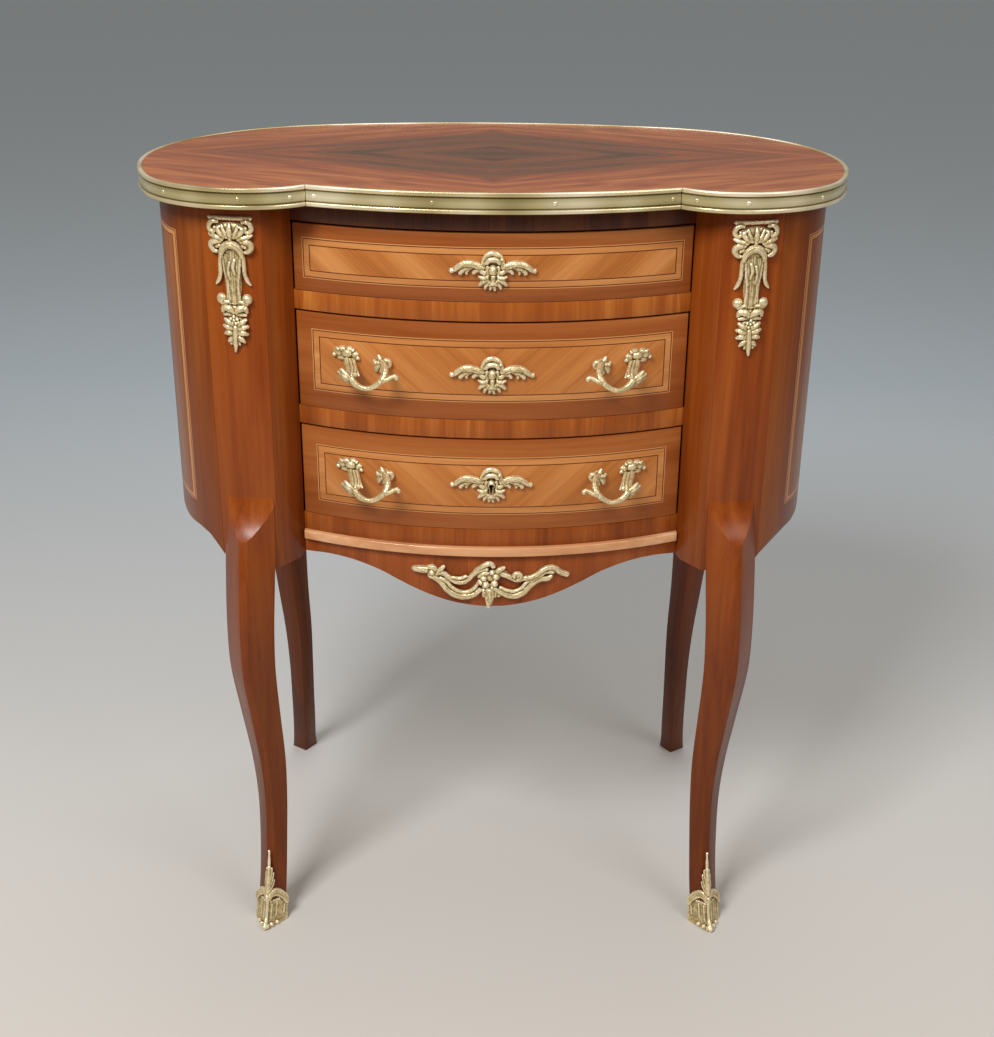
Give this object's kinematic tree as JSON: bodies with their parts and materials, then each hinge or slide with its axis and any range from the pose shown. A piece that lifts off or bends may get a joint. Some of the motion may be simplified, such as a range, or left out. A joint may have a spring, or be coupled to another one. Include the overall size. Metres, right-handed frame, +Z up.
{
  "type": "dressing chest",
  "caption": "Small kidney-shaped veneered chest with bowed sliding drawers, a brass-edged top, gilt mounts and cabriole legs",
  "frame": {"origin": "on the floor, under the middle of the box that holds the whole chest", "axes": "+Z up, +X to the right of a viewer in front of the drawers, +Y from the drawer fronts to the back"},
  "size_m": [0.65, 0.4002, 0.746],
  "materials": {
    "carcass_wood": "polished warm brown fruitwood or beech",
    "panel_veneer": "polished light red-brown veneer with diagonal streaks",
    "crossbanding": "polished darker cross-grained veneer",
    "top_veneer": "high-gloss quarter-matched dark veneer",
    "moulding_wood": "polished light wood strip",
    "drawer_lining": "plain unpolished softwood",
    "rim_brass": "polished pale brass",
    "gilt_bronze": "cast gilt bronze with dark recesses",
    "steel": "plain dull steel"
  },
  "bodies": {
    "carcass": {"top_board": "carcass_wood", "top_veneer": "top_veneer", "rim_front": "rim_brass", "rim_left": "rim_brass", "rim_right": "rim_brass", "rim_back": "rim_brass", "rim_pins": "rim_brass", "leg_front_left": "carcass_wood", "leg_front_right": "carcass_wood", "leg_back_left": "carcass_wood", "leg_back_right": "carcass_wood", "stile_left": "carcass_wood", "stile_right": "carcass_wood", "top_rail": "crossbanding", "upper_rail": "crossbanding", "lower_rail": "crossbanding", "bottom_rail": "crossbanding", "side_panel_left": "panel_veneer", "side_panel_right": "panel_veneer", "back_panel": "panel_veneer", "upper_drawer_board": "drawer_lining", "lower_drawer_board": "drawer_lining", "bottom_board": "drawer_lining", "drawer_guides_left": "drawer_lining", "drawer_guides_right": "drawer_lining", "top_back_rail": "drawer_lining", "top_screws": "steel", "apron": "crossbanding", "apron_moulding": "moulding_wood", "chute_left": "gilt_bronze", "chute_right": "gilt_bronze", "apron_mount": "gilt_bronze", "sabot_left": "gilt_bronze", "sabot_right": "gilt_bronze"},
    "drawer_top": {"drawer_1_front": "panel_veneer", "drawer_1_left": "drawer_lining", "drawer_1_right": "drawer_lining", "drawer_1_back": "drawer_lining", "drawer_1_bottom": "drawer_lining", "escutcheon_1": "gilt_bronze"},
    "drawer_middle": {"drawer_2_front": "panel_veneer", "drawer_2_left": "drawer_lining", "drawer_2_right": "drawer_lining", "drawer_2_back": "drawer_lining", "drawer_2_bottom": "drawer_lining", "escutcheon_2": "gilt_bronze", "handle_2_left": "gilt_bronze", "handle_2_right": "gilt_bronze", "handle_nuts_2": "steel"},
    "drawer_bottom": {"drawer_3_front": "panel_veneer", "drawer_3_left": "drawer_lining", "drawer_3_right": "drawer_lining", "drawer_3_back": "drawer_lining", "drawer_3_bottom": "drawer_lining", "escutcheon_3": "gilt_bronze", "handle_3_left": "gilt_bronze", "handle_3_right": "gilt_bronze", "handle_nuts_3": "steel", "lock_case": "steel"},
    "lock_bolt": {"lock_bolt": "steel"}
  },
  "joints": [
    {"name": "top_drawer_slide", "type": "slide", "parent": "carcass", "child": "drawer_top", "axis": [0, -1, 0], "range_m": [0, 0.2]},
    {"name": "middle_drawer_slide", "type": "slide", "parent": "carcass", "child": "drawer_middle", "axis": [0, -1, 0], "range_m": [0, 0.2]},
    {"name": "bottom_drawer_slide", "type": "slide", "parent": "carcass", "child": "drawer_bottom", "axis": [0, -1, 0], "range_m": [0, 0.2]},
    {"name": "lock_bolt_slide", "type": "slide", "parent": "drawer_bottom", "child": "lock_bolt", "axis": [0, 0, 1], "range_m": [0, 0.008]}
  ]
}
